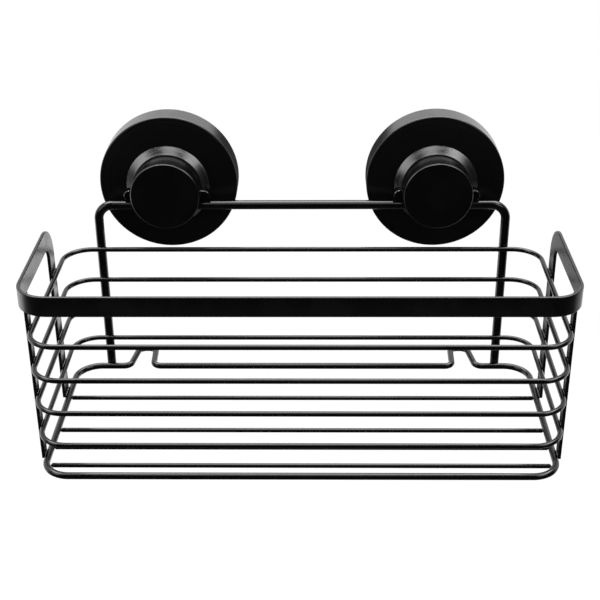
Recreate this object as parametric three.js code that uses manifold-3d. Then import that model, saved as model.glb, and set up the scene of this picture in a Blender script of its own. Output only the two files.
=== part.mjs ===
// Shower caddy: a wire basket whose hanger frame hangs in two screw-type suction cups.
// Millimetres, +X across, +Y towards the wall, +Z up. The origin lies in the wall's plane,
// midway between the cups' axes.
import * as THREE from "three";
import { mergeVertices } from "three/addons/utils/BufferGeometryUtils.js";
import Module from "manifold-3d";

const wasm = await Module();
wasm.setup();

// Clearances
const WELD_GAP = 0.2; // between basket pieces that are welded together
const SEAT_GAP = 0.25; // between cup pieces that are clipped or pressed together
const RUN_GAP = 0.3; // round whatever turns or slides

// Basket outline
const BASKET_WIDTH = 301.4; // over the rim strip's side faces
const WIRES_DEPTH = 126.7; // front to back over the horizontal wires
const RIM_HEIGHT = 115.7; // base wire's centre to the rim strip's top edge

// Rim strip and legs
const STRIP_THICKNESS = 2;
const STRIP_HEIGHT = 11.7;
const STRIP_CORNER = 18.5; // outer radius of the front corners, in plan
const STRIP_TURN = 20; // outer radius where each side turns down
const STRIP_DEPTH = 100.3; // front face to the back leg's rear edge
const BACK_LEG_FOOT = 1; // how far the back legs pass the base wire's centre
const FRONT_LEG_WIDTH = 6;
const FRONT_LEG_SETBACK = 24.2; // strip's front face to the front leg's front edge
const FRONT_LEG_FOOT = 2; // how far the front legs pass the base wire's centre

// Ring wires
const RING_WIRE_RADIUS = 1.5;
const RING_COUNT = 4;
const RING_PITCH = 21;
const RING_FRONT_BEND = 16; // bend radii are on the wire's centre line
const RING_BACK_BEND = 16.5;

// Base wire with its stand-off bends
const BASE_WIRE_RADIUS = 2;
const BASE_FRONT_BEND = 15;
const BASE_BACK_BEND = 15.5;
const STANDOFF_RUN = 17.8; // from the back corner's bend to the stand-off's outer foot
const STANDOFF_FOOT = 15.3; // corner to corner where it leaves the back run
const STANDOFF_OUTER_SLANT = 3.4; // how far the outer leg leans in on its way to the wall
const STANDOFF_INNER_SLANT = 0.8;
const STANDOFF_BEND = 5;
const STANDOFF_WALL_GAP = 7; // left between the stand-off and the wall

// Floor wires
const FLOOR_WIRE_RADIUS = 1.35;
const FLOOR_WIRE_COUNT = 5;
const FLOOR_WIRE_PITCH = 18.2;
const FLOOR_WIRE_SETBACK = 14.5; // strip's front face to the first floor wire's centre

// Hanger frame
const HANGER_RADIUS = 2.85;
const HANGER_FROM_BEND = 4.3; // from the ring wires' back bends to the hanger's legs
const HANGER_RISE = 112.4; // base wire's centre to the top wire's centre
const HANGER_BEND = 9.5;
const HANGER_DROP = 9.9; // top wire's centre below the cup axes

// Suction cups: distances along a cup's axis are counted from the wall
const CUP_SPACING = 165.6;
const PAD_RADIUS = 41.8;
const PAD_LIP = 0.7; // thin edge under the cover's rim
const PAD_THICKNESS = 2.4;
const PAD_THICK_RADIUS = 36;
const PAD_LIP_RADIUS = 37.2;
const PAD_RING_WALL = 2.5; // collar on the pad round the anchor plate
const PAD_RING_HEIGHT = 3;
const ANCHOR_RADIUS = 14.5;
const ANCHOR_THICKNESS = 2.5;
const NECK_SIDE = 11; // square neck that keeps the stud from turning
const STUD_RADIUS = 3.5;
const STUD_CHAMFER = 0.6;
const PULL_TRAVEL = 4; // how far the knob draws the stud out
const COVER_RADIUS = 42.8;
const COVER_WALL = 1;
const COVER_SIDE = 15.5; // rim to the edge of the face
const COVER_HEIGHT = 19.2; // rim to the flat round the collar
const COVER_EDGE = 1.2; // rounding of the face's edge
const SUPPORT_WALL = 2.4;
const SUPPORT_BOSS_RADIUS = 12;
const COLLAR_BASE_RADIUS = 25.7;
const COLLAR_TOP_RADIUS = 21.2;
const COLLAR_HEIGHT = 3.5;
const SPIGOT_RADIUS = 19; // hook plate's back, inside the collar
const SPIGOT_DEPTH = 3.5;
const HOOK_PLATE_RADIUS = 20.6;
const LUG_RADIUS = 3.5;
const LUG_SPAN = 46; // between the two lug centres
const LUG_DROP = 3.1; // lug centres below the cup axis
const LUG_RECESS = 0.3; // lugs and their bar behind the plate's faces
const KNOB_RADIUS = 21;
const KNOB_HEIGHT = 8.3;
const KNOB_WALL = 2;
const KNOB_FACE = 1.8;
const KNOB_BEVEL = 0.8;
const KNOB_BOSS_WALL = 2.6;
const KNOB_BOSS_DEPTH = 5.8;
const INSERT_WALL = 2.2;

// Facets
const ROUND_SIDES = 32;
const WIRE_SIDES = 8;
const HANGER_SIDES = 10;
const BEND_STEP = Math.PI / 12; // largest turn between two stations of a bent wire
const CORNER_SEGMENTS = 4; // curve divisions in the strip's outlines

// Distances from the wall along a cup's axis, from the pad outwards
const coverRim = PAD_LIP + SEAT_GAP;
const anchorBack = PAD_THICKNESS + SEAT_GAP;
const anchorFront = anchorBack + ANCHOR_THICKNESS;
const supportBossBack = anchorFront + PULL_TRAVEL + RUN_GAP;
const coverFlat = coverRim + COVER_HEIGHT;
const supportPlateFront = coverFlat - COVER_WALL - SEAT_GAP;
const collarBase = coverFlat + SEAT_GAP;
const collarTop = collarBase + COLLAR_HEIGHT;
const hookPlateBack = collarTop + SEAT_GAP;
const spigotBack = hookPlateBack - SPIGOT_DEPTH;
const supportBossFront = spigotBack - SEAT_GAP;
const hangerReach = hookPlateBack + RUN_GAP + HANGER_RADIUS;
const hookPlateFront = hangerReach + HANGER_RADIUS + RUN_GAP;
const knobBack = hookPlateFront + RUN_GAP;
const knobFront = knobBack + KNOB_HEIGHT;
const knobInnerFace = knobFront - KNOB_FACE;
const insertBack = supportBossFront + RUN_GAP;
const neckTop = insertBack - RUN_GAP - PULL_TRAVEL;
const studTip = knobInnerFace - RUN_GAP - PULL_TRAVEL;

// Radii that follow from the pieces inside
const insertBore = STUD_RADIUS + RUN_GAP;
const insertRadius = insertBore + INSERT_WALL;
const collarBore = SPIGOT_RADIUS + SEAT_GAP;
const coverInside = COVER_RADIUS - COVER_WALL;

// Distances from the strip's front face towards the wall
const wiresFront = STRIP_THICKNESS + WELD_GAP;
const wiresBack = wiresFront + WIRES_DEPTH;
const hangerSetback = wiresBack + WELD_GAP + HANGER_RADIUS;
const basketReach = hangerReach + hangerSetback;
const wiresHalfWidth = BASKET_WIDTH / 2 - STRIP_THICKNESS - WELD_GAP;
const hangerHalfWidth = wiresHalfWidth - RING_WIRE_RADIUS - RING_BACK_BEND - HANGER_FROM_BEND;
const standoffOuter = wiresHalfWidth - BASE_WIRE_RADIUS - BASE_BACK_BEND - STANDOFF_RUN;
const standoffInner = standoffOuter - STANDOFF_FOOT;
const stripUnderside = RIM_HEIGHT - STRIP_HEIGHT;

// Materials
const blackCoat = new THREE.MeshStandardMaterial({ color: 0x101012, roughness: 0.42, metalness: 0.3 });
const blackAluminium = new THREE.MeshStandardMaterial({ color: 0x1a1a1c, roughness: 0.35, metalness: 0.9 });
const blackPlastic = new THREE.MeshStandardMaterial({ color: 0x0c0c0d, roughness: 0.5, metalness: 0 });
const greyNylon = new THREE.MeshStandardMaterial({ color: 0x8d8f92, roughness: 0.55, metalness: 0 });
const darkRubber = new THREE.MeshStandardMaterial({ color: 0x26282a, roughness: 0.6, metalness: 0 });
const brass = new THREE.MeshStandardMaterial({ color: 0xb08d4a, roughness: 0.35, metalness: 1 });

// Merges a geometry's shared vertices and drops the triangles that closed up on the axis.
function welded(geometry) {
  const plain = geometry.clone();
  plain.deleteAttribute("normal");
  plain.deleteAttribute("uv");
  const merged = mergeVertices(plain, 1e-4);
  const corners = merged.index.array;
  const kept = [];
  for (let i = 0; i < corners.length; i += 3) {
    const [a, b, c] = corners.slice(i, i + 3);
    if (a !== b && b !== c && c !== a) {
      kept.push(a, b, c);
    }
  }
  merged.setIndex(kept);
  merged.computeVertexNormals();
  return merged;
}

function toSolid(geometry) {
  const closed = welded(geometry);
  return new wasm.Manifold(new wasm.Mesh({
    numProp: 3,
    vertProperties: closed.attributes.position.array,
    triVerts: Uint32Array.from(closed.index.array),
  }));
}

function toGeometry(solid) {
  const mesh = solid.getMesh();
  const geometry = new THREE.BufferGeometry();
  geometry.setAttribute("position", new THREE.BufferAttribute(mesh.vertProperties, 3));
  geometry.setIndex(new THREE.BufferAttribute(mesh.triVerts, 1));
  geometry.computeVertexNormals();
  return geometry;
}

// A solid of revolution about Y. The profile is a list of [radius, height] points that runs
// outwards along the bottom, up the outside and back in along the top.
function turned(profile) {
  const points = profile.map(([radius, height]) => new THREE.Vector2(radius, height));
  return welded(new THREE.LatheGeometry(points, ROUND_SIDES));
}

// A ring of revolution, whose profile closes on itself.
function turnedRing(profile) {
  return turned([...profile, profile[0]]);
}

// A round bar along Y between two heights.
function roundBar(radius, bottom, top) {
  const bar = new THREE.CylinderGeometry(radius, radius, top - bottom, ROUND_SIDES);
  return bar.translate(0, (bottom + top) / 2, 0);
}

// A square or rectangular bar along Y between two heights.
function squareBar(sizeX, sizeZ, bottom, top) {
  const bar = new THREE.BoxGeometry(sizeX, top - bottom, sizeZ);
  return bar.translate(0, (bottom + top) / 2, 0);
}

// A wire's centre line: straight runs between corners, each corner rounded by its bend radius.
// Its stations lie only where the line bends, so parameter k / segments is station k.
class BentLine extends THREE.Curve {
  constructor(corners, closed) {
    super();
    this.stations = [];
    const last = corners.length - 1;
    corners.forEach(({ point, bend }, i) => {
      const before = corners[closed ? (i + last) % corners.length : i - 1];
      const after = corners[closed ? (i + 1) % corners.length : i + 1];
      if (!before || !after) {
        const along = before ? point.clone().sub(before.point) : after.point.clone().sub(point);
        this.stations.push({ point, tangent: along.normalize() });
        return;
      }
      const inward = point.clone().sub(before.point).normalize();
      const outward = after.point.clone().sub(point).normalize();
      this.addBend(point, inward, outward, bend);
    });
    if (closed) {
      this.stations.push(this.stations[0]);
    }
    this.segments = this.stations.length - 1;
  }

  addBend(corner, inward, outward, bend) {
    const turn = inward.angleTo(outward);
    const side = outward.clone().addScaledVector(inward, -Math.cos(turn)).normalize();
    const start = corner.clone().addScaledVector(inward, -bend * Math.tan(turn / 2));
    const steps = Math.max(2, Math.ceil(turn / BEND_STEP - 1e-6));
    for (let k = 0; k <= steps; k += 1) {
      const angle = (turn * k) / steps;
      const point = start.clone()
        .addScaledVector(inward, bend * Math.sin(angle))
        .addScaledVector(side, bend * (1 - Math.cos(angle)));
      const tangent = inward.clone().multiplyScalar(Math.cos(angle)).addScaledVector(side, Math.sin(angle));
      this.stations.push({ point, tangent });
    }
  }

  blend(t, key) {
    const at = t * this.segments;
    const from = Math.min(Math.floor(at + 1e-6), this.segments - 1);
    return this.stations[from][key].clone().lerp(this.stations[from + 1][key], at - from);
  }

  getPoint(t) {
    return this.blend(t, "point");
  }

  getPointAt(u) {
    return this.getPoint(u);
  }

  getTangentAt(u) {
    return this.blend(u, "tangent").normalize();
  }
}

function wireSection(radius, sides) {
  const points = [];
  for (let k = 0; k < sides; k += 1) {
    const angle = (2 * Math.PI * k) / sides;
    points.push(new THREE.Vector2(radius * Math.cos(angle), radius * Math.sin(angle)));
  }
  return new THREE.Shape(points);
}

function openWire(corners, radius, sides) {
  const line = new BentLine(corners, false);
  const settings = { steps: line.segments, extrudePath: line };
  return welded(new THREE.ExtrudeGeometry(wireSection(radius, sides), settings));
}

function closedWire(corners, radius) {
  const line = new BentLine(corners, true);
  return welded(new THREE.TubeGeometry(line, line.segments, radius, WIRE_SIDES, true));
}

// The four corners of a horizontal wire whose outside fits the basket's common outline,
// with any extra corners of its back run, listed from +X to -X.
function basketLoop(radius, frontBend, backBend, backRun = []) {
  const x = wiresHalfWidth - radius;
  const front = wiresFront + radius;
  const back = wiresBack - radius;
  return [
    { point: new THREE.Vector3(-x, front, 0), bend: frontBend },
    { point: new THREE.Vector3(x, front, 0), bend: frontBend },
    { point: new THREE.Vector3(x, back, 0), bend: backBend },
    ...backRun,
    { point: new THREE.Vector3(-x, back, 0), bend: backBend },
  ];
}

// The rim strip is what its plan (a U) and its side view (a bar that turns down) have in common.
function rimBandGeometry() {
  const outer = BASKET_WIDTH / 2;
  const inner = outer - STRIP_THICKNESS;
  const plan = new THREE.Shape();
  plan.moveTo(-outer, STRIP_DEPTH);
  plan.lineTo(-outer, STRIP_CORNER);
  plan.absarc(-outer + STRIP_CORNER, STRIP_CORNER, STRIP_CORNER, Math.PI, 1.5 * Math.PI);
  plan.lineTo(outer - STRIP_CORNER, 0);
  plan.absarc(outer - STRIP_CORNER, STRIP_CORNER, STRIP_CORNER, 1.5 * Math.PI, 2 * Math.PI);
  plan.lineTo(outer, STRIP_DEPTH);
  plan.lineTo(inner, STRIP_DEPTH);
  const bore = STRIP_CORNER - STRIP_THICKNESS;
  plan.lineTo(inner, STRIP_CORNER);
  plan.absarc(outer - STRIP_CORNER, STRIP_CORNER, bore, 0, -0.5 * Math.PI, true);
  plan.lineTo(-outer + STRIP_CORNER, STRIP_THICKNESS);
  plan.absarc(-outer + STRIP_CORNER, STRIP_CORNER, bore, -0.5 * Math.PI, -Math.PI, true);
  plan.lineTo(-inner, STRIP_DEPTH);
  plan.closePath();
  const tall = RIM_HEIGHT + BACK_LEG_FOOT;
  const planSolid = new THREE.ExtrudeGeometry(plan, {
    depth: tall, bevelEnabled: false, curveSegments: CORNER_SEGMENTS,
  }).translate(0, 0, -BACK_LEG_FOOT);

  const margin = 1; // the side view's solid reaches past the plan on every other side
  const legFront = STRIP_DEPTH - STRIP_HEIGHT;
  const turnInner = STRIP_TURN - STRIP_HEIGHT;
  const turnY = STRIP_DEPTH - STRIP_TURN;
  const turnZ = RIM_HEIGHT - STRIP_TURN;
  const side = new THREE.Shape();
  side.moveTo(-margin, stripUnderside);
  side.lineTo(turnY, stripUnderside);
  side.absarc(turnY, turnZ, turnInner, 0.5 * Math.PI, 0, true);
  side.lineTo(legFront, -BACK_LEG_FOOT - margin);
  side.lineTo(STRIP_DEPTH, -BACK_LEG_FOOT - margin);
  side.lineTo(STRIP_DEPTH, turnZ);
  side.absarc(turnY, turnZ, STRIP_TURN, 0, 0.5 * Math.PI);
  side.lineTo(-margin, RIM_HEIGHT);
  side.closePath();
  const alongX = new THREE.Matrix4().makeBasis(
    new THREE.Vector3(0, 1, 0), new THREE.Vector3(0, 0, 1), new THREE.Vector3(1, 0, 0),
  );
  const sideSolid = new THREE.ExtrudeGeometry(side, {
    depth: BASKET_WIDTH + 2 * margin, bevelEnabled: false, curveSegments: CORNER_SEGMENTS,
  }).translate(0, 0, -outer - margin).applyMatrix4(alongX);
  return toGeometry(toSolid(planSolid).intersect(toSolid(sideSolid)));
}

// A stand-off bend: two slanting legs and a top near the wall.
function standoffCorners(side) {
  const back = wiresBack - BASE_WIRE_RADIUS;
  const top = basketReach - STANDOFF_WALL_GAP - BASE_WIRE_RADIUS;
  const outline = [
    [standoffOuter, back],
    [standoffOuter - STANDOFF_OUTER_SLANT, top],
    [standoffInner + STANDOFF_INNER_SLANT, top],
    [standoffInner, back],
  ];
  const corners = outline.map(([x, y]) => ({
    point: new THREE.Vector3(side * x, y, 0), bend: STANDOFF_BEND,
  }));
  return side > 0 ? corners : corners.reverse();
}

// How far from the middle a floor wire at this depth reaches before it meets the base wire.
function floorWireHalfLength(setback) {
  const clear = wiresHalfWidth - 2 * BASE_WIRE_RADIUS - WELD_GAP;
  const bendCentre = wiresFront + BASE_WIRE_RADIUS + BASE_FRONT_BEND;
  const offset = bendCentre - (setback - FLOOR_WIRE_RADIUS);
  if (offset <= 0) {
    return clear;
  }
  const bore = BASE_FRONT_BEND * Math.cos(BEND_STEP / 2) - BASE_WIRE_RADIUS;
  return clear - (BASE_FRONT_BEND - BASE_WIRE_RADIUS) + Math.sqrt(bore * bore - offset * offset);
}

function addMesh(group, name, geometry, material, x = 0, y = 0, z = 0) {
  const mesh = new THREE.Mesh(geometry, material);
  mesh.name = name;
  mesh.position.set(x, y, z);
  group.add(mesh);
  return mesh;
}

// Basket frame: x = 0 in the middle, y = 0 at the strip's front face, z = 0 at the base wire.
function basket() {
  const group = new THREE.Group();
  addMesh(group, "rim_band", rimBandGeometry(), blackCoat);

  const legTop = stripUnderside - WELD_GAP;
  const legLength = legTop + FRONT_LEG_FOOT;
  const legGeometry = new THREE.BoxGeometry(STRIP_THICKNESS, FRONT_LEG_WIDTH, legLength);
  const legX = (BASKET_WIDTH - STRIP_THICKNESS) / 2;
  const legY = FRONT_LEG_SETBACK + FRONT_LEG_WIDTH / 2;
  const legZ = legTop - legLength / 2;
  addMesh(group, "front_leg_left", legGeometry, blackCoat, -legX, legY, legZ);
  addMesh(group, "front_leg_right", legGeometry, blackCoat, legX, legY, legZ);

  const ring = closedWire(basketLoop(RING_WIRE_RADIUS, RING_FRONT_BEND, RING_BACK_BEND), RING_WIRE_RADIUS);
  for (let k = 1; k <= RING_COUNT; k += 1) {
    addMesh(group, `ring_wire_${k}`, ring, blackCoat, 0, 0, k * RING_PITCH);
  }

  const standoffs = [...standoffCorners(1), ...standoffCorners(-1)];
  const base = basketLoop(BASE_WIRE_RADIUS, BASE_FRONT_BEND, BASE_BACK_BEND, standoffs);
  addMesh(group, "base_wire", closedWire(base, BASE_WIRE_RADIUS), blackCoat);

  for (let k = 0; k < FLOOR_WIRE_COUNT; k += 1) {
    const setback = FLOOR_WIRE_SETBACK + k * FLOOR_WIRE_PITCH;
    const length = 2 * floorWireHalfLength(setback);
    const wire = new THREE.CylinderGeometry(FLOOR_WIRE_RADIUS, FLOOR_WIRE_RADIUS, length, WIRE_SIDES);
    const mesh = addMesh(group, `floor_wire_${k + 1}`, wire, blackCoat, 0, setback, 0);
    mesh.rotation.z = Math.PI / 2;
  }

  const legEnd = -BASE_WIRE_RADIUS;
  const hanger = [
    { point: new THREE.Vector3(-hangerHalfWidth, 0, legEnd) },
    { point: new THREE.Vector3(-hangerHalfWidth, 0, HANGER_RISE), bend: HANGER_BEND },
    { point: new THREE.Vector3(hangerHalfWidth, 0, HANGER_RISE), bend: HANGER_BEND },
    { point: new THREE.Vector3(hangerHalfWidth, 0, legEnd) },
  ];
  const frame = openWire(hanger, HANGER_RADIUS, HANGER_SIDES);
  addMesh(group, "hanger_frame", frame, blackCoat, 0, hangerSetback, 0);
  return group;
}

function suctionPad() {
  const ringInner = ANCHOR_RADIUS + 2 * SEAT_GAP;
  const ringOuter = ringInner + PAD_RING_WALL;
  const ringTop = PAD_THICKNESS + PAD_RING_HEIGHT;
  return turned([
    [0, 0], [PAD_RADIUS, 0], [PAD_RADIUS, PAD_LIP], [PAD_LIP_RADIUS, PAD_LIP],
    [PAD_THICK_RADIUS, PAD_THICKNESS], [ringOuter, PAD_THICKNESS], [ringOuter, ringTop],
    [ringInner, ringTop], [ringInner, PAD_THICKNESS], [0, PAD_THICKNESS],
  ]);
}

function pullStud() {
  const screw = turned([
    [0, anchorBack], [ANCHOR_RADIUS, anchorBack], [ANCHOR_RADIUS, anchorFront],
    [STUD_RADIUS, anchorFront], [STUD_RADIUS, studTip - STUD_CHAMFER],
    [STUD_RADIUS - STUD_CHAMFER, studTip], [0, studTip],
  ]);
  const neckFoot = (anchorBack + anchorFront) / 2;
  const neck = squareBar(NECK_SIDE, NECK_SIDE, neckFoot, neckTop);
  return toGeometry(toSolid(screw).add(toSolid(neck)));
}

// The cover's face falls off from the collar to its edge: its height over a radius.
function coverFaceAt(radius) {
  const slope = (COVER_HEIGHT - COVER_SIDE) / (COVER_RADIUS - COLLAR_BASE_RADIUS);
  return coverFlat - (radius - COLLAR_BASE_RADIUS) * slope;
}

// The stiff moulding behind the cover: its rim presses the pad's lip to the wall.
function supportCup() {
  const outer = coverInside - SEAT_GAP;
  const inner = outer - SUPPORT_WALL;
  const edgeFront = coverFaceAt(outer) - COVER_WALL - SEAT_GAP;
  const plateBack = supportPlateFront - SUPPORT_WALL;
  const body = turned([
    [0, supportBossBack], [SUPPORT_BOSS_RADIUS, supportBossBack], [SUPPORT_BOSS_RADIUS, plateBack],
    [COLLAR_BASE_RADIUS, plateBack], [inner, edgeFront - SUPPORT_WALL], [inner, coverRim],
    [outer, coverRim], [outer, edgeFront], [COLLAR_BASE_RADIUS, supportPlateFront],
    [SPIGOT_RADIUS, supportPlateFront], [SPIGOT_RADIUS, supportBossFront], [0, supportBossFront],
  ]);
  const hole = NECK_SIDE + 2 * RUN_GAP;
  const past = 1; // the cutting bar runs past both faces
  const neckHole = squareBar(hole, hole, supportBossBack - past, supportBossFront + past);
  return toGeometry(toSolid(body).subtract(toSolid(neckHole)));
}

function coverDisc() {
  const edgeRadius = COVER_RADIUS - COVER_EDGE;
  return turnedRing([
    [coverInside, coverRim], [COVER_RADIUS, coverRim],
    [COVER_RADIUS, coverFaceAt(COVER_RADIUS) - COVER_EDGE], [edgeRadius, coverFaceAt(edgeRadius)],
    [COLLAR_BASE_RADIUS, coverFlat], [collarBore, coverFlat], [collarBore, coverFlat - COVER_WALL],
    [COLLAR_BASE_RADIUS, coverFlat - COVER_WALL], [coverInside, coverFaceAt(coverInside) - COVER_WALL],
  ]);
}

function coneCollar() {
  return turnedRing([
    [collarBore, collarBase], [COLLAR_BASE_RADIUS, collarBase],
    [COLLAR_TOP_RADIUS, collarTop], [collarBore, collarTop],
  ]);
}

// Round plate with the groove that the hanger's top wire lies in, and a lug on either side.
function hookPlate() {
  const overlap = 0.5; // how far joined shapes run into each other
  const plate = toSolid(roundBar(HOOK_PLATE_RADIUS, hookPlateBack, hookPlateFront));
  const spigot = toSolid(roundBar(SPIGOT_RADIUS, spigotBack, hookPlateBack + overlap));
  const lugBack = hookPlateBack + LUG_RECESS;
  const lugFront = hookPlateFront - LUG_RECESS;
  const bar = squareBar(LUG_SPAN, 2 * LUG_RADIUS, lugBack, lugFront).translate(0, 0, -LUG_DROP);
  const lug = (x) => toSolid(roundBar(LUG_RADIUS, lugBack, lugFront).translate(x, 0, -LUG_DROP));
  const body = plate.add(spigot).add(toSolid(bar)).add(lug(-LUG_SPAN / 2)).add(lug(LUG_SPAN / 2));

  const past = 1; // cutting shapes run past the faces they cut
  const grooveHeight = 2 * (HANGER_RADIUS + RUN_GAP);
  const groove = squareBar(2 * (HOOK_PLATE_RADIUS + past), grooveHeight, hookPlateBack, hookPlateFront + past)
    .translate(0, 0, -HANGER_DROP);
  const shaft = roundBar(insertRadius + RUN_GAP, spigotBack - past, hookPlateFront + past);
  return toGeometry(body.subtract(toSolid(groove)).subtract(toSolid(shaft)));
}

function knobShell() {
  const pocket = insertRadius + SEAT_GAP;
  const boss = pocket + KNOB_BOSS_WALL;
  const bossBack = knobInnerFace - KNOB_BOSS_DEPTH;
  const inside = KNOB_RADIUS - KNOB_WALL;
  return turned([
    [0, knobInnerFace], [pocket, knobInnerFace], [pocket, bossBack], [boss, bossBack],
    [boss, knobInnerFace], [inside, knobInnerFace], [inside, knobBack], [KNOB_RADIUS, knobBack],
    [KNOB_RADIUS, knobFront - KNOB_BEVEL], [KNOB_RADIUS - KNOB_BEVEL, knobFront], [0, knobFront],
  ]);
}

function knobInsert() {
  const front = knobInnerFace - SEAT_GAP;
  return turnedRing([
    [insertBore, insertBack], [insertRadius, insertBack], [insertRadius, front], [insertBore, front],
  ]);
}

// Cup frame: the axis is y, counted from the wall outwards, and z is up.
function suctionCup(side) {
  const group = new THREE.Group();
  addMesh(group, `${side}_suction_pad`, suctionPad(), darkRubber);
  addMesh(group, `${side}_pull_stud`, pullStud(), greyNylon);
  addMesh(group, `${side}_support_cup`, supportCup(), blackPlastic);
  addMesh(group, `${side}_cover_disc`, coverDisc(), blackAluminium);
  addMesh(group, `${side}_cone_collar`, coneCollar(), blackAluminium);
  addMesh(group, `${side}_hook_plate`, hookPlate(), blackPlastic);
  addMesh(group, `${side}_knob_shell`, knobShell(), blackPlastic);
  addMesh(group, `${side}_knob_insert`, knobInsert(), brass);
  group.rotation.z = Math.PI; // turns the cup's outward axis to -Y, away from the wall
  return group;
}

const caddy = new THREE.Group();
const leftCup = suctionCup("left");
leftCup.position.x = -CUP_SPACING / 2;
const rightCup = suctionCup("right");
rightCup.position.x = CUP_SPACING / 2;
const hungBasket = basket();
hungBasket.position.set(0, -basketReach, -HANGER_DROP - HANGER_RISE);
caddy.add(leftCup, rightCup, hungBasket);

export default caddy;
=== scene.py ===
import math

import bmesh
import bpy
from mathutils import Matrix, Vector


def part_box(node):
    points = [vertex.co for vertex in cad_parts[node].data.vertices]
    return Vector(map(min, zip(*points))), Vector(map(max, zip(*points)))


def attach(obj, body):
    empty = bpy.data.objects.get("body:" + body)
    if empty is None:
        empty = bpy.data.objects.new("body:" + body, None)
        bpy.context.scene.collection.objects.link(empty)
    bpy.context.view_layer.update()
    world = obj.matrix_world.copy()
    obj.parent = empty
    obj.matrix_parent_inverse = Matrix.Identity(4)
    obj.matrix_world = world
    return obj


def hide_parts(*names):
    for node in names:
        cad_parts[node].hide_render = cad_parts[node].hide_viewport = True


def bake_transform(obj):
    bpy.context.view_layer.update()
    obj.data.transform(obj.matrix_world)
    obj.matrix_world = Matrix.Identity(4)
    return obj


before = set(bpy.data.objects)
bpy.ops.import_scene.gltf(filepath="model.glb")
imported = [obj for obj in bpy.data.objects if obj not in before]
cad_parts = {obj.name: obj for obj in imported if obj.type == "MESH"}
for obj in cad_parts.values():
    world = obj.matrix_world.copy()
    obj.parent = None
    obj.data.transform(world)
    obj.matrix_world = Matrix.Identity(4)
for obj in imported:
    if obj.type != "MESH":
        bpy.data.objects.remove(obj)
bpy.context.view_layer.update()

bl_info = {
    "name": "Shower Caddy",
    "version": (1, 0, 0),
    "blender": (4, 5, 0),
    "location": "3D View > Sidebar > Caddy",
    "description": "Builds a wire shower caddy with two screw suction cups around its CAD frame",
    "category": "Object",
}

MM = 0.001
MERGE = 0.005 * MM
QUARTER_TURN = math.pi / 2
SMOOTH_ANGLE = math.radians(32)
UP = Vector((0, 0, 1))
ACROSS = Vector((1, 0, 0))

# Places that the frame gives, in metres
STRIP_LOW, STRIP_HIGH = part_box("rim_band")
LEG_LOW, LEG_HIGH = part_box("front_leg_right")
BASE_LOW, BASE_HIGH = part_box("base_wire")
HANGER_LOW, HANGER_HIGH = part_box("hanger_frame")
RING_BOXES = [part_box(f"ring_wire_{k}") for k in (1, 2, 3, 4)]
FLOOR_BOXES = [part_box(f"floor_wire_{k}") for k in (1, 2, 3, 4, 5)]
COVER_LOW, COVER_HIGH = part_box("left_cover_disc")
COLLAR_LOW, COLLAR_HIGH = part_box("left_cone_collar")
PLATE_LOW, PLATE_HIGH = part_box("left_hook_plate")
KNOB_LOW, KNOB_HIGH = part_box("left_knob_shell")
PAD_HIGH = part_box("left_suction_pad")[1]
INSERT_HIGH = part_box("left_knob_insert")[1]
RIGHT_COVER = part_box("right_cover_disc")

# What follows from them
FRONT = STRIP_LOW.y
HALF_WIDTH = STRIP_HIGH.x
STRIP_THICKNESS = LEG_HIGH.x - LEG_LOW.x
LEFT_AXIS = (COVER_LOW.x + COVER_HIGH.x) / 2
CUP_SPACING = (RIGHT_COVER[0].x + RIGHT_COVER[1].x) / 2 - LEFT_AXIS
RING_RADIUS = (RING_BOXES[0][1].z - RING_BOXES[0][0].z) / 2
RING_HEIGHTS = [(low.z + high.z) / 2 for low, high in RING_BOXES]
FLOOR_RADIUS = (FLOOR_BOXES[0][1].z - FLOOR_BOXES[0][0].z) / 2
FLOOR_DEPTHS = [(low.y + high.y) / 2 for low, high in FLOOR_BOXES]
FLOOR_HEIGHT = (FLOOR_BOXES[0][0].z + FLOOR_BOXES[0][1].z) / 2
BASE_RADIUS = (BASE_HIGH.z - BASE_LOW.z) / 2
BASE_HEIGHT = (BASE_HIGH.z + BASE_LOW.z) / 2
HANGER_DEPTH = (HANGER_LOW.y + HANGER_HIGH.y) / 2
HANGER_RADIUS = (HANGER_HIGH.y - HANGER_LOW.y) / 2
WIRES_BACK = RING_BOXES[0][1].y
WIRES_FRONT = RING_BOXES[0][0].y
WIRES_HALF = RING_BOXES[0][1].x

# Shape details that a box doesn't tell
STRIP_HEIGHT = 11.7 * MM
STRIP_CORNER = 18.5 * MM
STRIP_TURN = 20 * MM
RING_FRONT_BEND = 16 * MM
RING_BACK_BEND = 16.5 * MM
BASE_FRONT_BEND = 15 * MM
BASE_BACK_BEND = 15.5 * MM
STANDOFF_OUTER = 113.2 * MM
STANDOFF_TOP_OUTER = 109.8 * MM
STANDOFF_TOP_INNER = 98.7 * MM
STANDOFF_INNER = 97.9 * MM
STANDOFF_BEND = 5 * MM
HANGER_BEND = 9.5 * MM
GROOVE_DROP = 9.9 * MM
RUN_GAP = 0.3 * MM
SPIGOT_RADIUS = 19 * MM
PLATE_RADIUS = 20.6 * MM
LUG_RADIUS = 3.5 * MM
LUG_DROP = 3.1 * MM
COVER_EDGE_FALL = 3.7 * MM
COVER_WALL = 1 * MM
SHAFT_HOLE = 6.3 * MM
SPIGOT_DEPTH = 3.5 * MM
COLLAR_BORE = 19.25 * MM
COLLAR_TOP_RADIUS = 21.2 * MM
COVER_SHOULDER = 25.7 * MM
SEAT_GAP = 0.25 * MM
KNOB_WALL = 2 * MM
KNOB_FACE = 1.8 * MM
KNOB_BOSS_WALL = 2.6 * MM
KNOB_BOSS_DEPTH = 5.8 * MM
PAD_THICKNESS = 2.4 * MM
PAD_RING_INNER = 15 * MM
PAD_RING_OUTER = 17.5 * MM
PAD_RING_TOP = 5.4 * MM

# How far a weld bead stands from the middle of the leg or wire that it joins
BEAD_AT_FRONT_LEG = 2.7 * MM
BEAD_AT_BACK_LEG = 5.4 * MM
BEAD_AT_HANGER = 2.1 * MM

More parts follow.
